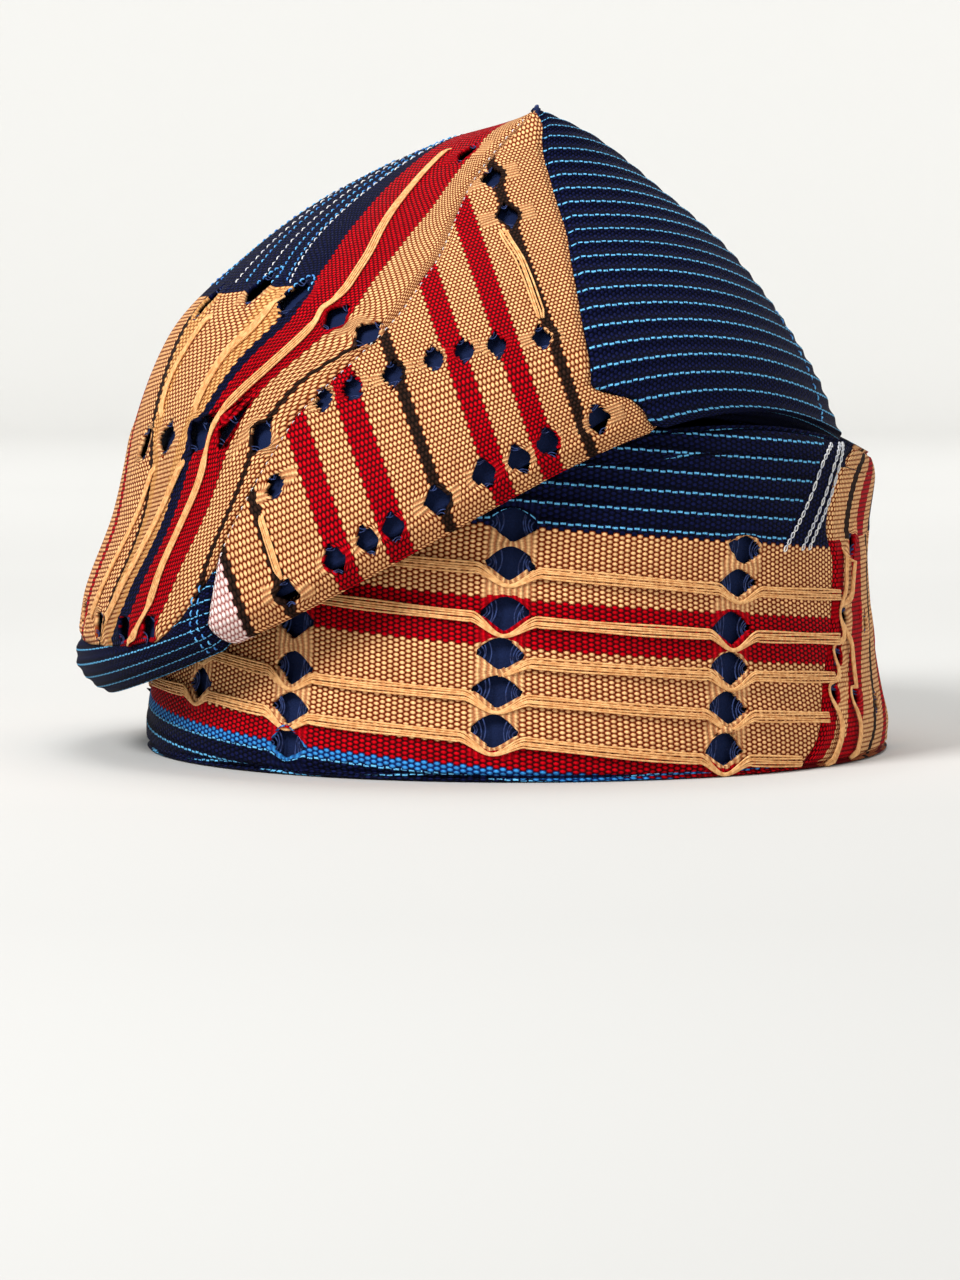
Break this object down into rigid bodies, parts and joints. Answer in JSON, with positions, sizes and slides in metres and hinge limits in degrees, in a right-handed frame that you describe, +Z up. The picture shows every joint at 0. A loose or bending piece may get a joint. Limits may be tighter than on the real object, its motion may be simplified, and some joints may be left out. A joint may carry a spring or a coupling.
{
  "type": "fila cap",
  "caption": "Soft cap of hand-woven strip cloth with openwork, a high band and a crown bag folded over to one side in a low lobe.",
  "frame": {"origin": "centre of the head opening, in the plane of the rim", "axes": "+Z up towards the crown, -Y the front, +X the wearer's left side, away from the folded lobe"},
  "size_m": [0.1857, 0.229, 0.1454],
  "materials": {
    "striped_cloth": "coarse hand-woven cotton, tan with red, black and navy stripes",
    "navy_cloth": "ribbed navy cotton with light blue dashes",
    "lining_cloth": "plain navy cotton"
  },
  "bodies": {
    "root": {"band_front": "striped_cloth", "band_side": "striped_cloth", "crown_front": "striped_cloth", "crown_left": "striped_cloth", "crown_right": "navy_cloth", "crown_gusset": "navy_cloth", "crown_underfold": "navy_cloth", "lining_band": "lining_cloth", "lining_crown": "lining_cloth"}
  },
  "joints": []
}
